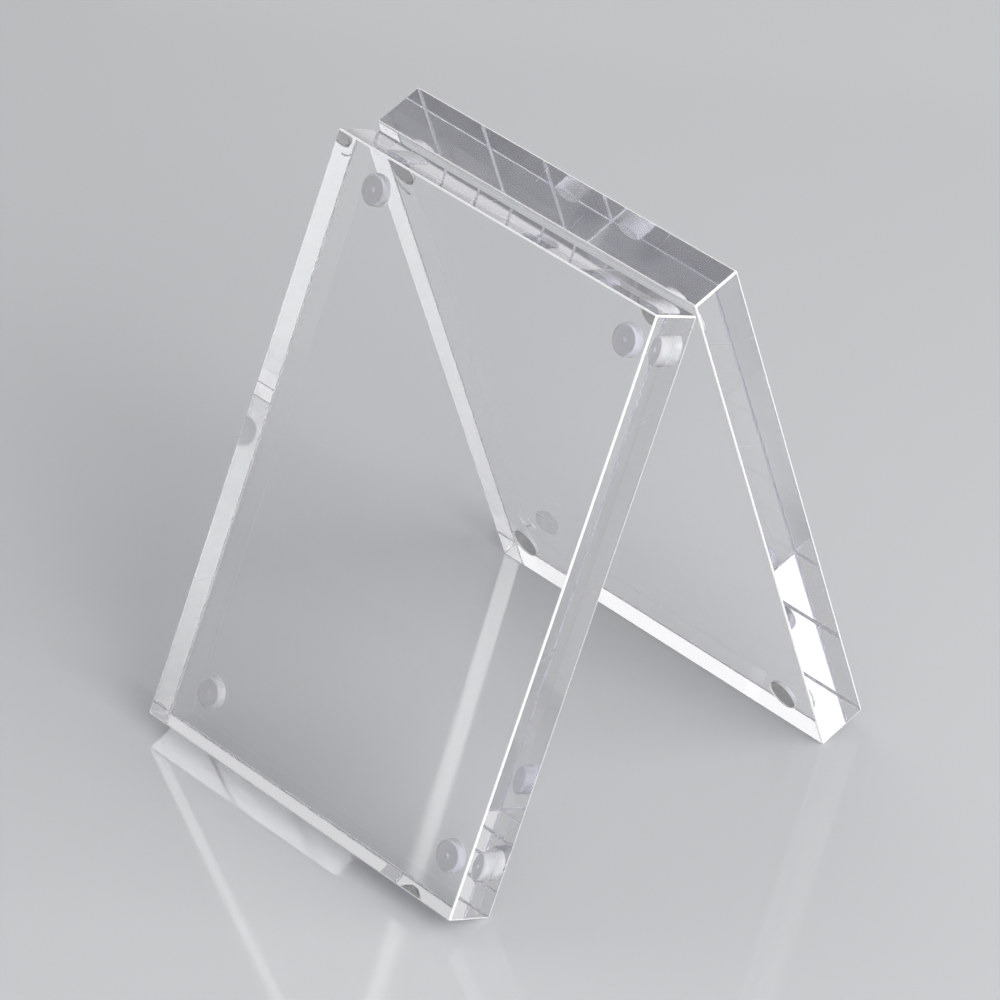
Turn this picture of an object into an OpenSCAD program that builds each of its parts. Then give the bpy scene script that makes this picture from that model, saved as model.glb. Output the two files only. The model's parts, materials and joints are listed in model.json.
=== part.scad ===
// Clear acrylic photo frame. Eight magnets hold its two blocks together around a print.
// It stands opened as a tent: the front block leans back until its top edge meets the
// inner face of the rear block, which leans forward.
// X runs to the right as seen from the front, Y runs to the rear and Z runs up.
// The origin is on the table, under the middle of the standing frame.

/* [Blocks] */
// Width of each acrylic block
block_w = 75; // [60:1:150]
// Height of each acrylic block, along its own face
block_h = 105; // [80:1:200]
// Thickness of each acrylic block
block_t = 9.4; // [6:0.1:15]
// Width that the polished bevel takes off both faces at every edge
edge_bevel = 0.3; // [0.1:0.05:0.8]

/* [Stance] */
// Lean of the front block from upright, in degrees
front_tilt = 22.4; // [20:0.1:27]
// Lean of the rear block from upright, in degrees
rear_tilt = 19.5; // [12:0.1:20]
// Room kept between the inner faces for a print
print_gap = 0.35; // [0.2:0.05:1]

/* [Magnets] */
// Diameter of each magnet
magnet_d = 5; // [3:0.5:8]
// Thickness of each magnet
magnet_t = 2; // [1:0.5:4]
// Bevel on the two rims of each magnet
magnet_bevel = 0.15; // [0.05:0.05:0.3]
// Distance from the middle of a magnet to the block's side edge
magnet_side_inset = 7.8; // [6:0.1:20]
// Distance from the middle of a magnet to the block's top or bottom edge
magnet_end_inset = 7.5; // [6:0.1:20]

/* [Pockets] */
// Depth of each magnet's face below the inner face
magnet_recess = 0.1; // [0.05:0.05:0.3]
// Gap all round each magnet in its pocket
pocket_side_gap = 0.15; // [0.05:0.05:0.3]
// Width of the bevel at each pocket's mouth
mouth_bevel = 0.15; // [0.05:0.05:0.4]
// Diameter of the dimple that the cutter's point leaves in the pocket's floor
dimple_d = 0.9; // [0.4:0.1:1.5]
// Depth of that dimple
dimple_depth = 0.4; // [0.05:0.05:0.6]
// Width of the bevel that the cutter's corner leaves between each pocket's wall and floor
floor_bevel = 0.35; // [0.1:0.05:0.5]

/* [Glue] */
// Thickness of the cured glue behind each magnet
glue_t = 0.4; // [0.1:0.1:0.8]
// Gap between the rim of the glue and the pocket's wall
glue_side_gap = 0.02; // [0.01:0.01:0.04]

/* [Hidden] */
SIDES = ["front", "rear"];
// Each corner's name, then its way along X and its way along Z
CORNERS = [
    ["top_left", -1, 1],
    ["top_right", 1, 1],
    ["bottom_left", -1, -1],
    ["bottom_right", 1, -1]
];
$fn = 96;
// Length by which a cutting shape runs past the surface that it cuts
overrun = 1;

pocket_r = magnet_d / 2 + pocket_side_gap;
pocket_depth = magnet_recess + magnet_t + glue_t;
// The floor's bevel stays behind the magnet, however thin the glue is
floor_corner = min(floor_bevel, glue_t - glue_side_gap);

// A block stands on the lower corner of its bevel, so its sharp corner lies this far below the table
front_sink = edge_bevel * sin(front_tilt);
rear_sink = edge_bevel * sin(rear_tilt);

// Distance of the front block's top edge from its foot, square to the rear block's inner face.
// The corner of the bevel that comes nearest changes where the angle passes 45 degrees.
spread_angle = front_tilt + rear_tilt;
top_reach = max(
    (block_h - edge_bevel) * sin(spread_angle),
    block_h * sin(spread_angle) - edge_bevel * cos(spread_angle)
);

// Distance between the feet that leaves the print gap at the top edge
foot_span = (print_gap + top_reach + (rear_sink - front_sink) * sin(rear_tilt)) / cos(rear_tilt);
front_outer_foot = block_t * cos(front_tilt) - edge_bevel * sin(front_tilt);
rear_outer_foot = block_t * cos(rear_tilt) - edge_bevel * sin(rear_tilt);
rear_y = (foot_span + front_outer_foot - rear_outer_foot) / 2;
front_y = rear_y - foot_span;

// A rectangle from the origin with its four corners cut off
function cut_corners(width, height, cut) = [
    [cut, 0], [width - cut, 0], [width, cut], [width, height - cut],
    [width - cut, height], [cut, height], [0, height - cut], [0, cut]
];

// A block's slab with all twelve edges beveled. Its inner face is at Y 0 and its foot at Z 0.
module beveled_slab() {
    translate([-block_w / 2, 0, 0])
        intersection() {
            linear_extrude(block_h)
                polygon(cut_corners(block_w, block_t, edge_bevel));
            translate([0, block_t, 0])
                rotate([90, 0, 0])
                    linear_extrude(block_t)
                        polygon(cut_corners(block_w, block_h, edge_bevel));
            rotate([90, 0, 90])
                linear_extrude(block_w)
                    polygon(cut_corners(block_t, block_h, edge_bevel));
        }
}

// A blind pocket, cut along Z from its mouth at Z 0, with a beveled mouth and a beveled, dimpled floor
module pocket() {
    rotate_extrude()
        polygon([
            [0, -overrun],
            [pocket_r + mouth_bevel + overrun, -overrun],
            [pocket_r, mouth_bevel],
            [pocket_r, pocket_depth - floor_corner],
            [pocket_r - floor_corner, pocket_depth],
            [dimple_d / 2, pocket_depth],
            [0, pocket_depth + dimple_depth]
        ]);
}

// Puts a shape that runs along Z from a pocket's mouth into that corner's pocket of a block
module in_pocket(corner) {
    translate([
        corner[1] * (block_w / 2 - magnet_side_inset),
        0,
        block_h / 2 + corner[2] * (block_h / 2 - magnet_end_inset)
    ])
        rotate([-90, 0, 0])
            children();
}

// Stands a block, or what lies in it, at its place in the opened frame
module stood(side) {
    if (side == "front")
        translate([0, front_y, -front_sink])
            rotate([-front_tilt, 0, 0])
                mirror([0, 1, 0])
                    children();
    else
        translate([0, rear_y, -rear_sink])
            rotate([rear_tilt, 0, 0])
                children();
}

// One clear acrylic block, with a pocket for a magnet near each corner of its inner face
module block() {
    color("lavender", 0.35)
        difference() {
            beveled_slab();
            for (corner = CORNERS)
                in_pocket(corner) pocket();
        }
}

// One nickel-plated disc magnet, at its depth in the pocket
module magnet() {
    color("silver")
        translate([0, 0, magnet_recess])
            rotate_extrude()
                polygon([
                    [0, 0],
                    [magnet_d / 2 - magnet_bevel, 0],
                    [magnet_d / 2, magnet_bevel],
                    [magnet_d / 2, magnet_t - magnet_bevel],
                    [magnet_d / 2 - magnet_bevel, magnet_t],
                    [0, magnet_t]
                ]);
}

// The disc of cured glue between a magnet's back and the pocket's floor
module glue() {
    glue_r = pocket_r - glue_side_gap;
    color("whitesmoke")
        rotate_extrude()
            polygon([
                [0, magnet_recess + magnet_t],
                [glue_r, magnet_recess + magnet_t],
                [glue_r, pocket_depth - floor_corner],
                [glue_r - floor_corner, pocket_depth],
                [0, pocket_depth]
            ]);
}

for (side = SIDES) {
    stood(side) block();
    for (corner = CORNERS) {
        stood(side) in_pocket(corner) magnet();
        stood(side) in_pocket(corner) glue();
    }
}
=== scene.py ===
"""Clear acrylic photo frame, standing opened as a tent on a plain pale table.

Two polished blocks of cast sheet, each with four disc magnets glued into milled pockets in its
inner face. The pieces are modelled in millimetres in a block's own frame, where X runs across
the block, Y runs from its inner face to its outer face and Z runs from its foot to its top.
Each becomes metres, in the standing object's frame, when it is set in its place.
"""
import json
import logging
import math
from dataclasses import dataclass
from enum import Enum

import bpy
from mathutils import Matrix, Vector


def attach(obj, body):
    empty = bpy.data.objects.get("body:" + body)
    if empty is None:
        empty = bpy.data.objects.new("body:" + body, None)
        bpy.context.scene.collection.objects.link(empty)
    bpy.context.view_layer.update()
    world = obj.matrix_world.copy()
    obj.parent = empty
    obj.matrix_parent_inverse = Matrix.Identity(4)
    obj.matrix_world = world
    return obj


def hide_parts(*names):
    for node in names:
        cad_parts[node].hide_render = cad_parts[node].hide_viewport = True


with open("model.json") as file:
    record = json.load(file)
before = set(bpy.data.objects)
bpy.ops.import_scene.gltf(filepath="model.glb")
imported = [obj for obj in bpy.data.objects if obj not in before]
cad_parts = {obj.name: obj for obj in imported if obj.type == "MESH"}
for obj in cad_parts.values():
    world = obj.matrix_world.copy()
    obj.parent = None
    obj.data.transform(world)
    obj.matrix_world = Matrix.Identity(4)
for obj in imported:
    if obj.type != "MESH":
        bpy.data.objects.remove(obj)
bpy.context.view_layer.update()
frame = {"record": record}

log = logging.getLogger("photo_frame")

MM = 0.001
PLACE = "place_mm"
FULL_TURN = 2 * math.pi
RIGHT_ANGLE = math.pi / 2
# Faces that meet at less than this angle belong to one smooth surface
SMOOTH_ANGLE = math.radians(12)
# Points closer than this, in millimetres, are one point
SAME_POINT = 0.0001
# A face whose normal has at least this much of one axis is square to it
SQUARE_ON = 0.999
# The values that a noise texture mostly stays between
NOISE_SPAN = (0.3, 0.7)
# The ways that hairline scratches run, as turns of the place's Z
SCRATCH_TURNS = ((0.5, 0.9, 0.3), (-0.7, -0.4, 1.1))
# Index of refraction of cured glue
GLUE_IOR = 1.46

Pair = tuple[float, float]
Triple = tuple[float, float, float]
Colour = tuple[float, ...]
Outline = list[Pair]
Piece = bpy.types.Object
Material = bpy.types.Material
NodeTree = bpy.types.NodeTree
Socket = bpy.types.NodeSocket
SocketValue = Socket | float | Colour


class Side(Enum):
    """The two blocks of the frame. The value is the word that their pieces' names start with."""

    FRONT = "front"
    REAR = "rear"

    @property
    def across(self) -> Vector:
        """The way of a block's own X in the standing object."""
        return Vector((1, 0, 0)) if self is Side.REAR else Vector((-1, 0, 0))


class Corner(Enum):
    """The pockets' corners. The value is their way along the object's X and the block's Z."""

    TOP_LEFT = (-1, 1)
    TOP_RIGHT = (1, 1)
    BOTTOM_LEFT = (-1, -1)
    BOTTOM_RIGHT = (1, -1)

    @property
    def word(self) -> str:
        """The corner as piece names spell it."""
        return self.name.lower()


class Surface(Enum):
    """The ways that a block's acrylic is finished, with their material slots in its mesh."""

    SHEET = 0
    POLISHED_EDGE = 1
    SCRAPED_ARRIS = 2
    MILLED_WALL = 3
    MILLED_FLOOR = 4


@dataclass(frozen=True)
class BlockSizes:
    """A block's own sizes, in millimetres.

    Attributes:
        width: Size along X.
        height: Size along Z.
        thickness: Size along Y.
        edge_bevel: Width that the scraped arris takes off each face.
        bevel_steps: Faces across the arris, which is slightly round.
    """

    width: float = 75.0
    height: float = 105.0
    thickness: float = 9.4
    edge_bevel: float = 0.3
    bevel_steps: int = 3


@dataclass(frozen=True)
class PocketSizes:
    """A milled pocket and what is glued into it, in millimetres.

    Attributes:
        side_inset: From the pocket's middle to the block's side edge.
        end_inset: From the pocket's middle to the block's top or bottom edge.
        magnet_diameter: Diameter of the magnet.
        magnet_thickness: Thickness of the magnet.
        magnet_rim: Radius of the magnet's rounded rims.
        recess: Depth of the magnet's face below the inner face.
        side_gap: Gap all round the magnet.
        glue: Thickness of the glue behind the magnet.
        glue_clearance: Gap between the glue and what it touches.
        glue_rise: Depth below the magnet's face that the glue round it reaches.
        mouth_bevel: Bevel at the mouth.
        floor_bevel: Bevel that the cutter's corner leaves where the wall meets the floor.
        dimple_radius: Radius of the dimple in the middle of the floor.
        dimple_depth: Depth of that dimple.
        ring_pitch: Distance between the rings that the cutter leaves in the floor.
        ring_height: Height of those rings.
        ring_points: Points across one ring.
        turn_steps: Faces round the pocket.
    """

    side_inset: float = 7.8
    end_inset: float = 7.5
    magnet_diameter: float = 5.0
    magnet_thickness: float = 2.0
    magnet_rim: float = 0.15
    recess: float = 0.1
    side_gap: float = 0.15
    glue: float = 0.4
    glue_clearance: float = 0.02
    glue_rise: float = 0.3
    mouth_bevel: float = 0.15
    floor_bevel: float = 0.35
    dimple_radius: float = 0.45
    dimple_depth: float = 0.4
    ring_pitch: float = 0.37
    ring_height: float = 0.03
    ring_points: int = 4
    turn_steps: int = 72

    @property
    def radius(self) -> float:
        """Radius of the pocket's wall."""
        return self.magnet_diameter / 2 + self.side_gap

    @property
    def depth(self) -> float:
        """Depth of the pocket's floor."""
        return self.recess + self.magnet_thickness + self.glue


def deselect_all() -> None:
    """Leaves object mode and deselects all, so that an operator acts on a new piece alone."""
    if bpy.context.object is not None and bpy.context.object.mode != "OBJECT":
        bpy.ops.object.mode_set(mode="OBJECT")
    bpy.ops.object.select_all(action="DESELECT")


def activate(piece: Piece) -> None:
    """Makes a piece the only selected object and the active one.

    Args:
        piece: The object to act on next.
    """
    deselect_all()
    piece.select_set(True)
    bpy.context.view_layer.objects.active = piece


def chained(name: str, points: list[Vector]) -> Piece:
    """Draws a chain of edges, one point after another.

    Args:
        name: The new object's name.
        points: The chain's points, in millimetres.

    Returns:
        The chain, selected and in object mode.
    """
    deselect_all()
    bpy.ops.mesh.primitive_plane_add(size=1)
    piece = bpy.context.object
    piece.name = name
    bpy.ops.object.mode_set(mode="EDIT")
    bpy.ops.mesh.merge(type="CENTER")
    bpy.ops.transform.translate(value=points[0])
    for here, there in zip(points, points[1:]):
        bpy.ops.mesh.extrude_vertices_move(TRANSFORM_OT_translate={"value": there - here})
    bpy.ops.object.mode_set(mode="OBJECT")
    return piece


def edit_all() -> None:
    """Puts the active piece in edit mode and selects all of it."""
    bpy.ops.object.mode_set(mode="EDIT")
    bpy.ops.mesh.select_all(action="SELECT")


def point_outwards() -> None:
    """Turns the faces of the piece in edit mode outwards and goes back to object mode."""
    bpy.ops.mesh.select_all(action="SELECT")
    bpy.ops.mesh.normals_make_consistent(inside=False)
    bpy.ops.object.mode_set(mode="OBJECT")


def turned(name: str, outline: Outline, steps: int) -> Piece:
    """Turns an outline about Z into a closed piece, as on a lathe.

    Args:
        name: The new object's name.
        outline: Radius and height of each point, from the axis round to the axis again.
        steps: Faces round the piece.

    Returns:
        The turned object, in millimetres, smooth where its faces meet at a low angle.
    """
    piece = chained(name, [Vector((radius, 0, height)) for radius, height in outline])
    edit_all()
    bpy.ops.mesh.spin(steps=steps, angle=FULL_TURN, center=(0, 0, 0), axis=(0, 0, 1))
    bpy.ops.mesh.select_all(action="SELECT")
    bpy.ops.mesh.remove_doubles(threshold=SAME_POINT)
    point_outwards()
    bpy.ops.object.shade_smooth_by_angle(angle=SMOOTH_ANGLE)
    return piece


def copied(pattern: Piece, name: str) -> Piece:
    """Copies a piece that is modelled once and stands in several places.

    Args:
        pattern: The piece to copy.
        name: The copy's name.

    Returns:
        The copy, with a mesh of its own.
    """
    activate(pattern)
    bpy.ops.object.duplicate()
    piece = bpy.context.object
    piece.name = name
    return piece


def carve(piece: Piece, cutter: Piece) -> None:
    """Cuts one closed piece out of another and removes the cutter.

    Args:
        piece: The object that is cut.
        cutter: The object whose shape is taken away.
    """
    activate(piece)
    cut = piece.modifiers.new("pocket", "BOOLEAN")
    cut.operation = "DIFFERENCE"
    cut.solver = "EXACT"
    cut.object = cutter
    bpy.ops.object.modifier_apply(modifier=cut.name)
    bpy.data.objects.remove(cutter)


class Stance:
    """How one block stands in the opened frame, read from the mount on its foot."""

    def __init__(self, side: Side, thickness: float) -> None:
        """Works out the turn and the place.

        Args:
            side: Which block.
            thickness: The block's thickness, in millimetres.
        """
        mounts = {mount["name"]: mount for mount in frame["record"]["mounts"]}
        foot = mounts[f"{side.value}_base"]
        up = -Vector(foot["axis"])
        outward = up.cross(side.across)
        inner_foot = Vector(foot["pos_m"]) - outward * thickness * MM / 2
        turn = Matrix((side.across, outward, up)).transposed().to_4x4()
        self.matrix = Matrix.Translation(inner_foot) @ turn @ Matrix.Scale(MM, 4)
        self.body = side.value

    def settle(self, piece: Piece, word: str) -> None:
        """Sets a finished piece in its place in the standing object, where it replaces a solid.

        Args:
            piece: A piece in the block's frame, in millimetres.
            word: The name of the solid that it stands for, without the block's word.
        """
        # The finishes follow each point's place in the block's frame
        places = piece.data.attributes.new(PLACE, "FLOAT_VECTOR", "POINT")
        for vertex, place in zip(piece.data.vertices, places.data):
            place.vector = vertex.co
        piece.data.transform(self.matrix)
        piece.data.update()
        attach(piece, self.body)
        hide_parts(f"{self.body}_{word}")
        log.info("%s: %d faces on %s", piece.name, len(piece.data.polygons), self.body)


class Graph:
    """Builds the nodes of one material or node group."""

    def __init__(self, tree: NodeTree) -> None:
        """Starts on the node tree that it adds to."""
        self.tree = tree

    def add(
        self, kind: str, settings: dict[str, object] | None = None, **inputs: SocketValue
    ) -> bpy.types.Node:
        """Adds a node.

        Args:
            kind: The node's type.
            settings: The node's own properties.
            **inputs: Input names, with a value or a socket for each. A name's underscores stand
                for spaces.

        Returns:
            The new node.
        """
        node = self.tree.nodes.new(kind)
        for key, value in (settings or {}).items():
            setattr(node, key, value)
        self.fill(node, **inputs)
        return node

    def fill(self, node: bpy.types.Node, **inputs: SocketValue) -> None:
        """Feeds a node's inputs. A name's underscores stand for spaces."""
        for key, value in inputs.items():
            self.feed(node.inputs[key.replace("_", " ")], value)

    def feed(self, socket: Socket, value: SocketValue) -> None:
        """Links a socket to an input, or sets the input's value.

        Args:
            socket: The input.
            value: A socket to link, or a plain value.
        """
        if isinstance(value, Socket):
            self.tree.links.new(value, socket)
        else:
            socket.default_value = value

    def math(self, operation: str, *values: SocketValue) -> Socket:
        """Adds a Math node.

        Args:
            operation: The Math node's operation.
            *values: Sockets or numbers for its inputs, in order.

        Returns:
            The result's socket.
        """
        node = self.tree.nodes.new("ShaderNodeMath")
        node.operation = operation
        for socket, value in zip(node.inputs, values):
            self.feed(socket, value)
        return node.outputs[0]

    def ramp(
        self, value: SocketValue, low: float, high: float, to_low: float = 0.0, to_high: float = 1.0
    ) -> Socket:
        """Maps a value from one range to another, held at the ends.

        Args:
            value: The socket to map.
            low: The value that gives to_low.
            high: The value that gives to_high.
            to_low: The least result.
            to_high: The greatest result.

        Returns:
            The result's socket.
        """
        limits = {"From_Min": low, "From_Max": high, "To_Min": to_low, "To_Max": to_high}
        node = self.add("ShaderNodeMapRange", {"clamp": True}, Value=value, **limits)
        return node.outputs["Result"]

    def mix(self, share: SocketValue, first: Colour, second: Colour) -> Socket:
        """Mixes two colours.

        Args:
            share: How much of the second colour shows.
            first: The first colour.
            second: The second colour.

        Returns:
            The mixed colour's socket.
        """
        node = self.add("ShaderNodeMix", {"data_type": "RGBA"})
        self.feed(node.inputs["Factor"], share)
        self.feed(node.inputs["A"], (*first[:3], 1.0))
        self.feed(node.inputs["B"], (*second[:3], 1.0))
        return node.outputs["Result"]


class Effect(Enum):
    """The surface effects that several finishes share, each built once as a node group."""

    FINE_SCRATCHES = "fine_scratches"
    DUST = "dust"
    CUTTER_LINES = "cutter_lines"

    def group(self) -> NodeTree:
        """Gives this effect's node group, and builds it the first time."""
        return bpy.data.node_groups.get(self.value) or EFFECT_BUILDERS[self]()


def new_group(name: str, numbers: dict[str, float]) -> tuple[Graph, dict[str, Socket]]:
    """Starts a node group that reads a place and some numbers and puts out one mask.

    Args:
        name: The group's name.
        numbers: The number inputs' names and defaults.

    Returns:
        The graph that builds the group, and the group's inputs by name.
    """
    tree = bpy.data.node_groups.new(name, "ShaderNodeTree")
    tree.interface.new_socket("Place", in_out="INPUT", socket_type="NodeSocketVector")
    for key, value in numbers.items():
        socket = tree.interface.new_socket(key, in_out="INPUT", socket_type="NodeSocketFloat")
        socket.default_value = value
    tree.interface.new_socket("Mask", in_out="OUTPUT", socket_type="NodeSocketFloat")
    graph = Graph(tree)
    return graph, dict(graph.add("NodeGroupInput").outputs.items())


def finish_group(graph: Graph, mask: Socket) -> NodeTree:
    """Links a group's mask to its output and gives the finished group."""
    graph.add("NodeGroupOutput", Mask=mask)
    return graph.tree


def one_way_scratches(graph: Graph, inputs: dict[str, Socket], turn: Triple) -> Socket:
    """Adds straight scratches that all run one way, each at a chance place in its own strip.

    Args:
        graph: The group's graph.
        inputs: The group's inputs.
        turn: How the scratches' way is turned from the place's Z.

    Returns:
        The scratches' mask.
    """
    margin = 0.1
    spacing = inputs["Spacing"]
    laid = graph.add("ShaderNodeMapping", Vector=inputs["Place"], Rotation=turn)
    axes = graph.add("ShaderNodeSeparateXYZ", Vector=laid.outputs[0])
    strip = graph.math("DIVIDE", axes.outputs["X"], spacing)
    strip_number = graph.math("FLOOR", strip)
    shift = graph.add("ShaderNodeTexWhiteNoise", {"noise_dimensions": "1D"}, W=strip_number)
    lengths = graph.math("DIVIDE", axes.outputs["Z"], inputs["Length"])
    run = graph.math("ADD", lengths, shift.outputs["Value"])
    run_number = graph.math("FLOOR", run)
    cell = graph.add("ShaderNodeCombineXYZ", X=strip_number, Y=run_number, Z=turn[1])
    noise = {"noise_dimensions": "3D"}
    chance = graph.add("ShaderNodeTexWhiteNoise", noise, Vector=cell.outputs[0])
    middle = graph.ramp(chance.outputs["Value"], 0.0, 1.0, margin, 1 - margin)
    aside = graph.math("SUBTRACT", graph.math("FRACT", strip), middle)
    away = graph.math("MULTIPLY", graph.math("ABSOLUTE", aside), spacing)
    tapered = graph.math("SINE", graph.math("MULTIPLY", graph.math("FRACT", run), math.pi))
    thin = graph.math("LESS_THAN", away, graph.math("MULTIPLY", inputs["Width"], tapered))
    shades = graph.add("ShaderNodeSeparateColor", Color=chance.outputs["Color"])
    there = graph.math("LESS_THAN", shades.outputs[1], inputs["Amount"])
    return graph.math("MULTIPLY", thin, there)


def fine_scratches_group() -> NodeTree:
    """Builds straight hairline scratches that run two ways, with their sizes in millimetres.

    Returns:
        The node group.
    """
    graph, inputs = new_group(
        "fine_scratches", {"Amount": 0.3, "Spacing": 6.0, "Length": 9.0, "Width": 0.03}
    )
    ways = [one_way_scratches(graph, inputs, turn) for turn in SCRATCH_TURNS]
    return finish_group(graph, graph.math("MAXIMUM", *ways))


def dust_group() -> NodeTree:
    """Builds small round specks of dust, of mixed sizes in millimetres.

    Returns:
        The node group.
    """
    graph, inputs = new_group("dust", {"Amount": 0.3, "Speck": 0.06, "Spacing": 2.5})
    axes = graph.add("ShaderNodeSeparateXYZ", Vector=inputs["Place"])
    # The slant lays the specks out on faces of every way, though the pattern is flat
    slant = {"X": 0.7, "Z": 0.6}
    across, up = (
        graph.math("ADD", axes.outputs[way], graph.math("MULTIPLY", axes.outputs["Y"], share))
        for way, share in slant.items()
    )
    flat = graph.add("ShaderNodeCombineXYZ", X=across, Y=up)
    per_mm = graph.math("DIVIDE", 1.0, inputs["Spacing"])
    cells = graph.add(
        "ShaderNodeTexVoronoi", {"voronoi_dimensions": "2D"}, Vector=flat.outputs[0], Scale=per_mm
    )
    chance = graph.add("ShaderNodeSeparateColor", Color=cells.outputs["Color"])
    scale = graph.math("MULTIPLY", per_mm, chance.outputs[1])
    size = graph.math("MULTIPLY", inputs["Speck"], scale)
    inside = graph.math("LESS_THAN", cells.outputs["Distance"], size)
    there = graph.math("LESS_THAN", chance.outputs[0], inputs["Amount"])
    return finish_group(graph, graph.math("MULTIPLY", inside, there))


def cutter_lines_group() -> NodeTree:
    """Builds the faint even lines that a turning cutter leaves, one a pitch along the place's X.

    Returns:
        The node group.
    """
    graph, inputs = new_group("cutter_lines", {"Pitch": 0.4, "Waver": 0.1})
    sharpness = 3.0
    place = inputs["Place"]
    wander = graph.add("ShaderNodeTexNoise", Vector=place, Scale=0.12, Detail=0.0)
    along = graph.add("ShaderNodeSeparateXYZ", Vector=place)
    shift = graph.math("MULTIPLY", wander.outputs[0], inputs["Waver"])
    shifted = graph.math("ADD", along.outputs[0], shift)
    lines = graph.math("DIVIDE", shifted, inputs["Pitch"])
    wave = graph.math("SINE", graph.math("MULTIPLY", lines, FULL_TURN))
    return finish_group(graph, graph.math("POWER", graph.ramp(wave, -1.0, 1.0), sharpness))


EFFECT_BUILDERS = {
    Effect.FINE_SCRATCHES: fine_scratches_group,
    Effect.DUST: dust_group,
    Effect.CUTTER_LINES: cutter_lines_group,
}


class Finish:
    """A material in the making: its shader, its graph and the place that its patterns follow."""

    def __init__(self, name: str) -> None:
        """Starts a material.

        Args:
            name: The material's name.
        """
        self.material = bpy.data.materials.new(name)
        self.material.use_nodes = True
        self.graph = Graph(self.material.node_tree)
        self.shader = self.material.node_tree.nodes["Principled BSDF"]
        place = self.graph.add("ShaderNodeAttribute", {"attribute_name": PLACE})
        self.place = place.outputs["Vector"]

    def set(self, **inputs: SocketValue) -> None:
        """Sets or links the shader's inputs. A name's underscores stand for spaces."""
        self.graph.fill(self.shader, **inputs)

    def mask(self, effect: Effect, **inputs: SocketValue) -> Socket:
        """Adds a shared effect that follows the place, unless its inputs name another Place."""
        inputs = {"Place": self.place, **inputs}
        return self.graph.add("ShaderNodeGroup", {"node_tree": effect.group()}, **inputs).outputs[0]

    def turned_place(self, turn: Triple, scale: Triple = (1.0, 1.0, 1.0)) -> Socket:
        """Gives the place turned and stretched, for a pattern that lies another way."""
        node = self.graph.add("ShaderNodeMapping", Vector=self.place, Rotation=turn, Scale=scale)
        return node.outputs[0]

    def noise(self, **inputs: SocketValue) -> Socket:
        """Adds a noise texture that follows the place, unless its inputs name another Vector."""
        return self.graph.add("ShaderNodeTexNoise", **{"Vector": self.place, **inputs}).outputs[0]

    def roughen(self, mask: Socket, least: float, most: float, span: Pair = (0.0, 1.0)) -> None:
        """Takes the roughness from least to most where the mask goes through its span."""
        self.set(Roughness=self.graph.ramp(mask, *span, least, most))

    def bump(self, height: Socket, distance: float) -> None:
        """Raises the surface by a height, of which 1 stands for the distance in metres."""
        node = self.graph.add("ShaderNodeBump", Height=height, Distance=distance, Strength=1.0)
        self.set(Normal=node.outputs[0])


@dataclass(frozen=True)
class ClearAcrylic:
    """Cast acrylic, water clear, with a faint cool tint that shows along its edges.

    Attributes:
        colour: What the surface lets through.
        ior: Index of refraction of acrylic.
        tint: Colour that a long way through the acrylic turns to.
        tint_density: How fast it turns, per metre.
    """

    colour: Colour = (0.999, 0.999, 1.0, 1.0)
    ior: float = 1.49
    tint: Colour = (0.89, 0.89, 1.0, 1.0)
    tint_density: float = 1.0

    def start(self, name: str, roughness: float, clearness: float = 1.0) -> Finish:
        """Starts a material of this acrylic.

        Args:
            name: The material's name.
            roughness: The surface's roughness.
            clearness: How much light the surface passes. It scatters the rest, as a frosted
                cut does.

        Returns:
            The finish, for its own marks to be added.
        """
        finish = Finish(name)
        finish.set(Base_Color=self.colour, Roughness=roughness, IOR=self.ior)
        finish.set(Transmission_Weight=clearness)
        inside = finish.graph.add(
            "ShaderNodeVolumeAbsorption", Color=self.tint, Density=self.tint_density
        )
        output = finish.material.node_tree.nodes["Material Output"]
        finish.graph.feed(output.inputs["Volume"], inside.outputs[0])
        return finish


ACRYLIC = ClearAcrylic()


@dataclass(frozen=True)
class SheetFace:
    """The broad faces of the cast sheet: glossy, with a few hairline scratches and specks of dust.

    Attributes:
        roughness: Roughness of the clean face.
        marked: Roughness in a scratch or a speck.
    """

    roughness: float = 0.0
    marked: float = 0.25

    def material(self) -> Material:
        """Builds the material.

        Returns:
            The material.
        """
        finish = ACRYLIC.start("clear_sheet_face", self.roughness)
        scratches = finish.mask(
            Effect.FINE_SCRATCHES, Amount=0.05, Spacing=9.0, Length=11.0, Width=0.02
        )
        dust = finish.mask(Effect.DUST, Amount=0.12, Speck=0.11, Spacing=3.2)
        marks = finish.graph.math("MAXIMUM", scratches, dust)
        finish.roughen(marks, self.roughness, self.marked)
        return finish.material


@dataclass(frozen=True)
class PolishedEdge:
    """The sawn edges, polished clear, with faint lines of the cutter and short scratches left.

    Attributes:
        roughness: Roughness of the polish.
        marked: Roughness in a scratch.
        line_slant: How far the cutter's lines slant.
        line_depth: Depth of the cutter's lines, in metres.
    """

    roughness: float = 0.006
    marked: float = 0.35
    line_slant: float = 0.2
    line_depth: float = 1e-7

    def material(self) -> Material:
        """Builds the material.

        Returns:
            The material.
        """
        finish = ACRYLIC.start("polished_edge", self.roughness)
        slanted = finish.turned_place((0.0, RIGHT_ANGLE, self.line_slant))
        lines = finish.mask(Effect.CUTTER_LINES, Place=slanted, Pitch=1.7, Waver=1.2)
        scratches = finish.mask(
            Effect.FINE_SCRATCHES, Amount=0.07, Spacing=2.6, Length=5.0, Width=0.03
        )
        finish.roughen(scratches, self.roughness, self.marked)
        finish.bump(lines, self.line_depth)
        return finish.material


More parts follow.
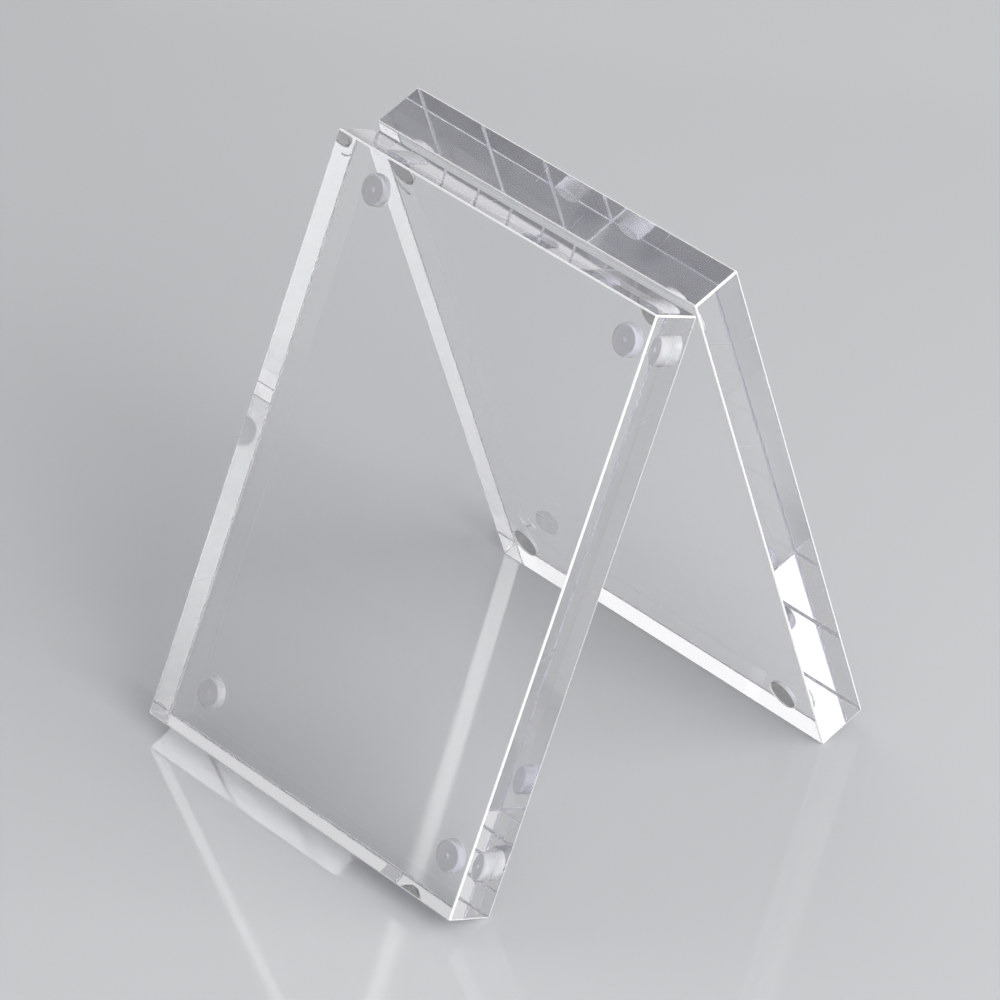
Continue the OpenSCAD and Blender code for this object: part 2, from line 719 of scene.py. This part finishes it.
@dataclass(frozen=True)
class ScrapedArris:
    """The arrises, broken with a scraper and left satin. Most of their light scatters off white, a
    painted highlight that makes them show as pale lines.

    Attributes:
        roughness: Middle roughness of the scraped acrylic.
        spread: How far the roughness varies from it.
        clearness: How much light passes through it. The rest scatters off white as a painted
            highlight.
    """

    roughness: float = 0.34
    spread: float = 0.06
    clearness: float = 0.3

    def material(self) -> Material:
        """Builds the material.

        Returns:
            The material.
        """
        # Mostly white scattering: a painted highlight that shows the arrises as bright lines
        finish = ACRYLIC.start("scraped_arris", self.roughness, self.clearness)
        scrape = finish.noise(Scale=3.0, Detail=1.0)
        least, most = self.roughness - self.spread, self.roughness + self.spread
        finish.roughen(scrape, least, most, NOISE_SPAN)
        return finish.material


@dataclass(frozen=True)
class MilledWall:
    """The pockets' walls and bevels, which the side of the cutter left frosted white.

    Attributes:
        roughness: Roughness between the lines of the cutter's passes.
        line_roughness: Roughness on those lines.
        clearness: How much light passes through it.
        line_pitch: Distance between the lines, in millimetres.
        line_depth: Depth of the lines, in metres.
    """

    roughness: float = 0.5
    line_roughness: float = 0.6
    clearness: float = 0.12
    line_pitch: float = 0.21
    line_depth: float = 8e-6

    def material(self) -> Material:
        """Builds the material.

        Returns:
            The material.
        """
        finish = ACRYLIC.start("milled_wall", self.roughness, self.clearness)
        depthways = finish.turned_place((0.0, 0.0, RIGHT_ANGLE))
        lines = finish.mask(
            Effect.CUTTER_LINES, Place=depthways, Pitch=self.line_pitch, Waver=0.05
        )
        finish.roughen(lines, self.roughness, self.line_roughness)
        finish.bump(lines, self.line_depth)
        return finish.material


@dataclass(frozen=True)
class MilledFloor:
    """The pockets' floors, which the end of the cutter left frosted and grainy.

    Attributes:
        roughness: Middle roughness of the cut acrylic.
        spread: How far the roughness varies from it.
        clearness: How much light passes through it.
        grain_depth: Depth of its grain, in metres.
    """

    roughness: float = 0.4
    spread: float = 0.1
    clearness: float = 0.3
    grain_depth: float = 1e-5

    def material(self) -> Material:
        """Builds the material.

        Returns:
            The material.
        """
        finish = ACRYLIC.start("milled_floor", self.roughness, self.clearness)
        grain = finish.noise(Scale=7.0, Detail=2.0, Roughness=0.65)
        least, most = self.roughness - self.spread, self.roughness + self.spread
        finish.roughen(grain, least, most, NOISE_SPAN)
        finish.bump(grain, self.grain_depth)
        return finish.material


@dataclass(frozen=True)
class NickelPlate:
    """Bright nickel plating on the magnets, with faint mottling and hairline scratches.

    Attributes:
        colour: The plating's middle colour.
        mottling: How far the colour varies from it, as a share.
        roughness: Roughness of the clean plating.
        marked: Roughness in its deepest marks.
        mark_depth: Depth of its marks, in metres.
    """

    colour: Colour = (0.57, 0.565, 0.555)
    mottling: float = 0.1
    roughness: float = 0.08
    marked: float = 0.3
    mark_depth: float = 1.5e-6

    def material(self) -> Material:
        """Builds the material.

        Returns:
            The material.
        """
        finish = Finish("nickel_plate")
        graph = finish.graph
        mottle_share = 0.4
        mottle = finish.noise(Scale=1.4, Detail=3.0)
        scratches = finish.mask(
            Effect.FINE_SCRATCHES, Amount=0.7, Spacing=0.9, Length=2.2, Width=0.02
        )
        darker = tuple((1 - self.mottling) * part for part in self.colour)
        lighter = tuple((1 + self.mottling) * part for part in self.colour)
        marks = graph.math("ADD", scratches, graph.math("MULTIPLY", mottle, mottle_share))
        finish.set(Base_Color=graph.mix(mottle, darker, lighter), Metallic=1.0)
        finish.roughen(marks, self.roughness, self.marked)
        finish.bump(marks, self.mark_depth)
        return finish.material


@dataclass(frozen=True)
class CuredGlue:
    """Cured glue, milky white, with small bubbles and cloudy patches.

    Attributes:
        colour: The glue's colour.
        cloud: Brightness of its cloudy patches, as a share of that colour's.
        roughness: Roughness in a bubble and between the bubbles.
        bubble_rim: Where a bubble's rim starts and ends, as shares of a cell.
        bubble_depth: Depth of its bubbles, in metres.
        clearness: How much light passes through it.
    """

    colour: Colour = (0.90, 0.905, 0.915)
    cloud: float = 0.86
    roughness: Pair = (0.25, 0.5)
    bubble_rim: Pair = (0.10, 0.22)
    bubble_depth: float = 1e-5
    clearness: float = 0.1

    def material(self) -> Material:
        """Builds the material.

        Returns:
            The material.
        """
        finish = Finish("cured_glue")
        graph = finish.graph
        bubbles = graph.add("ShaderNodeTexVoronoi", Vector=finish.place, Scale=2.6)
        round_bubbles = graph.ramp(bubbles.outputs["Distance"], *self.bubble_rim)
        cloudy = tuple(self.cloud * part for part in self.colour)
        finish.set(
            Base_Color=graph.mix(finish.noise(Scale=1.1, Detail=3.0), cloudy, self.colour),
            IOR=GLUE_IOR,
            Transmission_Weight=self.clearness,
        )
        finish.roughen(round_bubbles, *self.roughness)
        finish.bump(round_bubbles, self.bubble_depth)
        return finish.material


@dataclass(frozen=True)
class GlueFilm:
    """A thin film of glue that was wiped over the acrylic: clear, but hazy and streaked.

    Attributes:
        colour: What the film lets through.
        roughness: Roughness of its clearest and its haziest streaks.
        streak_span: The mask's values that give them.
        streak_depth: Depth of the streaks, in metres.
        wipe_turn: The turn of the streaks.
        wipe_stretch: Their stretch along X, Y and Z.
    """

    colour: Colour = (0.97, 0.97, 0.975, 1.0)
    roughness: Pair = (0.05, 0.3)
    streak_span: Pair = (0.35, 0.7)
    streak_depth: float = 1.5e-6
    wipe_turn: Triple = (0.0, 0.7, 0.0)
    wipe_stretch: Triple = (0.5, 1.0, 2.2)

    def material(self) -> Material:
        """Builds the material.

        Returns:
            The material.
        """
        finish = Finish("wiped_glue")
        wiped = finish.turned_place(self.wipe_turn, self.wipe_stretch)
        streaks = finish.noise(Vector=wiped, Scale=1.3, Detail=3.0)
        finish.set(Base_Color=self.colour, IOR=GLUE_IOR, Transmission_Weight=1.0)
        finish.roughen(streaks, *self.roughness, self.streak_span)
        finish.bump(streaks, self.streak_depth)
        return finish.material


class Finishes:
    """The object's finished materials, one of each."""

    def __init__(self) -> None:
        """Builds them all."""
        self.sheet = SheetFace().material()
        self.edge = PolishedEdge().material()
        self.arris = ScrapedArris().material()
        self.wall = MilledWall().material()
        self.floor = MilledFloor().material()
        self.nickel = NickelPlate().material()
        self.glue = CuredGlue().material()
        self.film = GlueFilm().material()


@dataclass
class PocketPlace:
    """Where one pocket lies in its block, in the block's frame.

    Attributes:
        side: The block.
        corner: The corner that the pocket is near.
        block: The block's sizes.
        sizes: The pocket's sizes.
    """

    side: Side
    corner: Corner
    block: BlockSizes
    sizes: PocketSizes

    @property
    def middle(self) -> Vector:
        """The middle of the pocket's mouth.

        Returns:
            The point, in the block's frame.
        """
        across, up = self.corner.value
        half_width, half_height = self.block.width / 2, self.block.height / 2
        x = across * self.side.across.x * (half_width - self.sizes.side_inset)
        return Vector((x, 0, half_height + up * (half_height - self.sizes.end_inset)))

    def insert(self, piece: Piece) -> Piece:
        """Turns a piece that was turned about Z into the pocket, its heights along the depth.

        Args:
            piece: The piece, in millimetres.

        Returns:
            The same piece, in the block's frame.
        """
        laid = Matrix.Rotation(-RIGHT_ANGLE, 4, "X")
        piece.data.transform(Matrix.Translation(self.middle) @ laid)
        return piece


@dataclass
class AcrylicBlock:
    """The clear block, with its polished edges and its four milled pockets.

    Attributes:
        block: The block's sizes.
        pocket: The pockets' sizes.
        floor_slope: Least share of a pocket face's normal along the depth that makes it floor.
    """

    block: BlockSizes = BlockSizes()
    pocket: PocketSizes = PocketSizes()
    floor_slope: float = 0.8

    @property
    def places(self) -> list[PocketPlace]:
        """The places of the four pockets, which lie alike in both blocks."""
        return [PocketPlace(Side.REAR, corner, self.block, self.pocket) for corner in Corner]

    def slab(self) -> Piece:
        """Makes the sawn and polished slab, before its pockets are milled.

        Returns:
            The slab, in the block's frame.
        """
        size = Vector((self.block.width, self.block.thickness, self.block.height))
        deselect_all()
        bpy.ops.mesh.primitive_cube_add(size=1, location=(0, size.y / 2, size.z / 2), scale=size)
        slab = bpy.context.object
        slab.name = "clear_block"
        bpy.ops.object.transform_apply(location=True, rotation=True, scale=True)
        edit_all()
        bpy.ops.mesh.bevel(
            offset=self.block.edge_bevel, segments=self.block.bevel_steps, affect="EDGES"
        )
        bpy.ops.object.mode_set(mode="OBJECT")
        return slab

    def pocket_outline(self) -> Outline:
        """Gives half the section of a pocket, with the rings that the cutter leaves in its floor.

        Returns:
            Radius and depth of each point.
        """
        pocket = self.pocket
        overrun = 1.0
        outline = [
            (0.0, -overrun),
            (pocket.radius + pocket.mouth_bevel + overrun, -overrun),
            (pocket.radius, pocket.mouth_bevel),
            (pocket.radius, pocket.depth - pocket.floor_bevel),
        ]
        floor_radius = pocket.radius - pocket.floor_bevel
        width = floor_radius - pocket.dimple_radius
        steps = round(width / pocket.ring_pitch) * pocket.ring_points
        for step in range(steps + 1):
            ripple = math.cos(FULL_TURN * step / pocket.ring_points)
            depth = pocket.depth - pocket.ring_height * (1 - ripple) / 2
            outline.append((floor_radius - width * step / steps, depth))
        outline.append((0.0, pocket.depth + pocket.dimple_depth))
        return outline

    def dress(self, piece: Piece, finishes: Finishes) -> None:
        """Gives each face the finish of its surface.

        Args:
            piece: The milled block, in the block's frame.
            finishes: The object's materials.
        """
        skins = (finishes.sheet, finishes.edge, finishes.arris, finishes.wall, finishes.floor)
        for material in skins:
            piece.data.materials.append(material)
        middles = [place.middle for place in self.places]
        reach = self.pocket.radius + self.pocket.mouth_bevel + SAME_POINT
        for face in piece.data.polygons:
            x, y, z = face.center
            depth_share = abs(face.normal.y)
            near = min((Vector((x, 0, z)) - middle).length for middle in middles)
            on_face = min(y, self.block.thickness - y) < SAME_POINT
            if on_face and depth_share > SQUARE_ON:
                surface = Surface.SHEET
            elif near < reach and y < self.block.thickness / 2:
                is_floor = depth_share > self.floor_slope
                surface = Surface.MILLED_FLOOR if is_floor else Surface.MILLED_WALL
            elif max(abs(part) for part in face.normal) > SQUARE_ON:
                surface = Surface.POLISHED_EDGE
            else:
                surface = Surface.SCRAPED_ARRIS
            face.material_index = surface.value

    def build(self, finishes: Finishes) -> None:
        """Makes one block and sets a copy of it in each of the two places.

        Args:
            finishes: The object's materials.
        """
        pattern = self.slab()
        cutter = turned("pocket_cutter", self.pocket_outline(), self.pocket.turn_steps)
        for place in self.places:
            carve(pattern, place.insert(copied(cutter, "pocket_cut")))
        bpy.data.objects.remove(cutter)
        activate(pattern)
        bpy.ops.object.shade_smooth_by_angle(angle=SMOOTH_ANGLE)
        self.dress(pattern, finishes)
        for side in Side:
            piece = copied(pattern, f"{side.value}_block_clear")
            Stance(side, self.block.thickness).settle(piece, "block")
        bpy.data.objects.remove(pattern)


@dataclass
class MagnetSeat:
    """The magnet and the glue that holds it, as they lie in each of the eight pockets.

    Attributes:
        block: The block's sizes.
        pocket: The pockets' sizes.
        rim_steps: Faces across a rounded rim.
    """

    block: BlockSizes = BlockSizes()
    pocket: PocketSizes = PocketSizes()
    rim_steps: int = 4

    def magnet_outline(self) -> Outline:
        """Gives half the section of the magnet, with round rims.

        Returns:
            Radius and depth of each point.
        """
        sizes = self.pocket
        radius, rim = sizes.magnet_diameter / 2, sizes.magnet_rim
        front, back = sizes.recess, sizes.recess + sizes.magnet_thickness
        flat = radius - rim
        angles = [RIGHT_ANGLE * step / self.rim_steps for step in range(self.rim_steps + 1)]
        first = [(flat + rim * math.sin(a), front + rim - rim * math.cos(a)) for a in angles]
        second = [(flat + rim * math.cos(a), back - rim + rim * math.sin(a)) for a in angles]
        return [(0.0, front), *first, *second, (0.0, back)]

    def glue_outline(self) -> Outline:
        """Gives half the section of the glue, which was pressed up round the magnet.

        Returns:
            Radius and depth of each point.
        """
        sizes = self.pocket
        gap = sizes.glue_clearance
        back = sizes.recess + sizes.magnet_thickness + gap
        outer = sizes.radius - gap
        inner = sizes.magnet_diameter / 2 + gap
        top = sizes.recess + sizes.glue_rise
        sunk = top + sizes.side_gap / 2
        floor = sizes.depth - gap - sizes.ring_height
        return [
            (0.0, back),
            (inner, back),
            (inner, sunk),
            ((inner + outer) / 2, sunk),
            (outer, top),
            (outer, sizes.depth - sizes.floor_bevel - gap),
            (outer - sizes.floor_bevel, floor),
            (0.0, floor),
        ]

    def build(self, finishes: Finishes) -> None:
        """Makes one magnet and its glue and sets a copy of each in every pocket.

        Args:
            finishes: The object's materials.
        """
        patterns = (
            ("magnet", self.magnet_outline(), finishes.nickel, "nickel_plate"),
            ("glue", self.glue_outline(), finishes.glue, "cured_glue"),
        )
        for word, outline, material, slot in patterns:
            pattern = turned(f"round_{word}", outline, self.pocket.turn_steps)
            pattern.data.materials.append(material)
            for side in Side:
                stance = Stance(side, self.block.thickness)
                for corner in Corner:
                    place = PocketPlace(side, corner, self.block, self.pocket)
                    name = f"{side.value}_{word}_{corner.word}_round"
                    piece = place.insert(copied(pattern, name))
                    stance.settle(piece, f"{word}_{corner.word}")
            bpy.data.objects.remove(pattern)


@dataclass(frozen=True)
class GlueThread:
    """A thin thread of glue that was drawn over the inner face and set there.

    Attributes:
        name: The end of the piece's name.
        corner: The pocket whose glue it is.
        path: Its points on the inner face, along X and Z, in millimetres.
        radius: Radius of the thread, in millimetres.
        sunk: How much of the radius lies in the acrylic.
        end_taper: The ends' radius, as a share of the thread's.
        smooth_levels: Times that the thread's faces are divided.
    """

    name: str
    corner: Corner
    path: Outline
    radius: float = 0.18
    sunk: float = 0.5
    end_taper: float = 0.55
    smooth_levels: int = 2

    def build(self, stance: Stance, finishes: Finishes) -> None:
        """Makes the thread and sets it in its place.

        Args:
            stance: How the block that it lies on stands.
            finishes: The object's materials.
        """
        proud = self.radius * (1 - self.sunk)
        points = [Vector((x, -proud, z)) for x, z in self.path]
        piece = chained(f"{stance.body}_glue_{self.corner.word}_{self.name}", points)
        bpy.ops.object.modifier_add(type="SKIN")
        ends = (0, len(points) - 1)
        for place, point in enumerate(piece.data.skin_vertices[0].data):
            taper = self.end_taper if place in ends else 1.0
            point.radius = (self.radius * taper, self.radius * taper)
        smooth = piece.modifiers.new("smooth", "SUBSURF")
        smooth.levels = smooth.render_levels = self.smooth_levels
        for modifier in list(piece.modifiers):
            bpy.ops.object.modifier_apply(modifier=modifier.name)
        bpy.ops.object.shade_smooth()
        piece.data.materials.append(finishes.glue)
        stance.settle(piece, f"glue_{self.corner.word}")


@dataclass(frozen=True)
class GlueSmear:
    """A thin patch of glue that was wiped over the inner face.

    Attributes:
        corner: The pocket whose glue it is.
        outline: Its edge on the inner face, along X and Z, in millimetres.
        thickness: Thickness of the film, in millimetres.
        lift: Gap between the film and the acrylic, in millimetres.
    """

    corner: Corner
    outline: Outline
    thickness: float = 0.02
    lift: float = 0.005

    def build(self, stance: Stance, finishes: Finishes) -> None:
        """Makes the film and sets it in its place.

        Args:
            stance: How the block that it lies on stands.
            finishes: The object's materials.
        """
        points = [Vector((x, -self.lift, z)) for x, z in (*self.outline, self.outline[0])]
        piece = chained(f"{stance.body}_glue_{self.corner.word}_smear", points)
        edit_all()
        bpy.ops.mesh.remove_doubles(threshold=SAME_POINT)
        bpy.ops.mesh.select_all(action="SELECT")
        bpy.ops.mesh.edge_face_add()
        bpy.ops.mesh.extrude_region_move(TRANSFORM_OT_translate={"value": (0, -self.thickness, 0)})
        point_outwards()
        piece.data.materials.append(finishes.film)
        stance.settle(piece, f"glue_{self.corner.word}")


@dataclass
class GlueTraces:
    """The small traces of glue that were left on the rear block's inner face.

    Attributes:
        side: The block that they lie on.
        thickness: The block's thickness, in millimetres.
        threads: The thin threads.
        smear: The wiped patch.
    """

    side: Side = Side.REAR
    thickness: float = BlockSizes.thickness
    threads: tuple[GlueThread, ...] = (
        GlueThread(
            "thread",
            Corner.BOTTOM_LEFT,
            [(-28.6, 15.2), (-27.7, 13.8), (-26.8, 13.7), (-25.4, 15.3), (-24.4, 14.6)],
        ),
        GlueThread("drop", Corner.BOTTOM_LEFT, [(-26.2, 16.1), (-25.8, 15.9)], radius=0.24),
        GlueThread(
            "thread",
            Corner.TOP_LEFT,
            [(-32.1, 94.4), (-31.0, 93.3), (-29.7, 92.6), (-28.9, 92.7)],
        ),
    )
    smear: GlueSmear = GlueSmear(
        Corner.BOTTOM_LEFT,
        [
            (-22.4, 20.3), (-21.0, 21.4), (-19.3, 22.0), (-17.8, 21.7), (-17.1, 20.6),
            (-17.6, 18.9), (-18.7, 17.0), (-19.9, 16.0), (-21.2, 15.6), (-22.7, 15.6),
            (-23.7, 16.3), (-23.6, 17.9), (-23.1, 19.2),
        ],
    )

    def build(self, finishes: Finishes) -> None:
        """Makes the traces and sets them in their places.

        Args:
            finishes: The object's materials.
        """
        stance = Stance(self.side, self.thickness)
        for trace in (*self.threads, self.smear):
            trace.build(stance, finishes)


@dataclass
class PhotoCamera:
    """The camera, where a fit to the photograph's corners puts it.

    Attributes:
        place: Where it stands, in metres.
        azimuth: Its way round the object, in degrees, from the front towards the right.
        elevation: Its angle above the table, in degrees.
        roll: Its tilt about its own axis, in degrees.
        focal_pixels: Focal length in pixels of the photograph.
        photo_pixels: Width of the photograph.
        sensor: Width of the sensor, in millimetres.
        clip: The nearest and farthest that it sees, in metres.
    """

    place: Triple = (0.64451, -0.60314, 0.62130)
    azimuth: float = 47.039
    elevation: float = 33.133
    roll: float = 1.775
    focal_pixels: float = 6482.2
    photo_pixels: float = 1000.0
    sensor: float = 36.0
    clip: Pair = (0.01, 20.0)

    def build(self) -> None:
        """Makes the camera and gives it to the scene."""
        azimuth, elevation = math.radians(self.azimuth), math.radians(self.elevation)
        right = Vector((math.cos(azimuth), math.sin(azimuth), 0))
        flat = math.cos(elevation)
        back = Vector((math.sin(azimuth) * flat, -math.cos(azimuth) * flat, math.sin(elevation)))
        up = back.cross(right)
        level = Matrix((right, up, back)).transposed()
        turn = level @ Matrix.Rotation(math.radians(self.roll), 3, "Z")
        deselect_all()
        bpy.ops.object.camera_add(location=self.place, rotation=turn.to_euler())
        camera = bpy.context.object
        camera.name = "photo_camera"
        camera.data.sensor_width = self.sensor
        camera.data.lens = self.focal_pixels / self.photo_pixels * self.sensor
        camera.data.clip_start, camera.data.clip_end = self.clip
        bpy.context.scene.camera = camera


@dataclass(frozen=True)
class SoftBox:
    """One soft lamp that points at the object.

    Attributes:
        name: Its name.
        place: Where it hangs, in metres.
        size: Width and height of its front, in metres.
        power: Its power, in watts.
        aim: The point that it lights, in metres.
    """

    name: str
    place: Triple
    size: Pair
    power: float
    aim: Triple = (0.0, 0.0, 0.05)

    def build(self) -> None:
        """Hangs the lamp."""
        way = Vector(self.place) - Vector(self.aim)
        deselect_all()
        bpy.ops.object.light_add(
            type="AREA", location=self.place, rotation=way.to_track_quat("Z", "Y").to_euler()
        )
        lamp = bpy.context.object
        lamp.name = self.name
        lamp.data.shape = "RECTANGLE"
        lamp.data.size, lamp.data.size_y = self.size
        lamp.data.energy = self.power
        lamp.visible_camera = False


@dataclass
class Studio:
    """The plain pale table, the soft lamps and the pale room round them.

    Attributes:
        table_size: Width of the table, in metres.
        table_colour: The table's colour.
        table_roughness: The table's roughness.
        room_colour: The room's colour.
        room_strength: The room's brightness.
        glass_bounces: Times that light may pass or mirror on its way through the acrylic.
        gloss_bounces: Times that it may mirror on glossy faces.
        lamps: The soft lamps.
    """

    table_size: float = 6.0
    table_colour: Colour = (0.52, 0.525, 0.535, 1.0)
    table_roughness: float = 0.07
    room_colour: Colour = (0.97, 0.98, 1.0, 1.0)
    room_strength: float = 0.45
    glass_bounces: int = 24
    gloss_bounces: int = 12
    lamps: tuple[SoftBox, ...] = (
        SoftBox("left_softbox", (-0.78, -0.02, 1.15), (1.15, 1.15), 2.9),
        SoftBox("right_softbox", (0.87, 0.71, 0.82), (0.65, 0.65), 4.4),
        SoftBox("rear_softbox", (-0.70, 0.93, 0.26), (0.7, 0.5), 0.27),
        SoftBox("front_softbox", (1.15, -1.15, 0.78), (2.2, 1.5), 4.8),
        SoftBox("upper_softbox", (0.95, 0.13, 1.15), (0.9, 0.9), 1.1),
        SoftBox("side_softbox", (1.20, -0.10, 0.58), (1.1, 0.95), 19.0),
    )

    def build_table(self) -> None:
        """Lays the table."""
        deselect_all()
        bpy.ops.mesh.primitive_plane_add(size=self.table_size)
        table = bpy.context.object
        table.name = "table"
        finish = Finish("pale_table")
        finish.set(Base_Color=self.table_colour, Roughness=self.table_roughness)
        table.data.materials.append(finish.material)

    def build_room(self) -> None:
        """Lights the room."""
        world = bpy.data.worlds.new("pale_room")
        world.use_nodes = True
        bpy.context.scene.world = world
        background = world.node_tree.nodes["Background"]
        background.inputs["Color"].default_value = self.room_colour
        background.inputs["Strength"].default_value = self.room_strength

    def build(self) -> None:
        """Makes the whole studio."""
        self.build_table()
        self.build_room()
        for lamp in self.lamps:
            lamp.build()
        scene = bpy.context.scene
        scene.view_settings.view_transform = "Standard"
        scene.cycles.max_bounces = self.glass_bounces
        scene.cycles.transmission_bounces = self.glass_bounces
        scene.cycles.glossy_bounces = self.gloss_bounces


def main() -> None:
    """Builds the frame's pieces in order, then the studio and the camera."""
    logging.basicConfig(level=logging.INFO, format="%(message)s")
    finishes = Finishes()
    AcrylicBlock().build(finishes)
    MagnetSeat().build(finishes)
    GlueTraces().build(finishes)
    Studio().build()
    PhotoCamera().build()


if __name__ == "__main__":
    main()
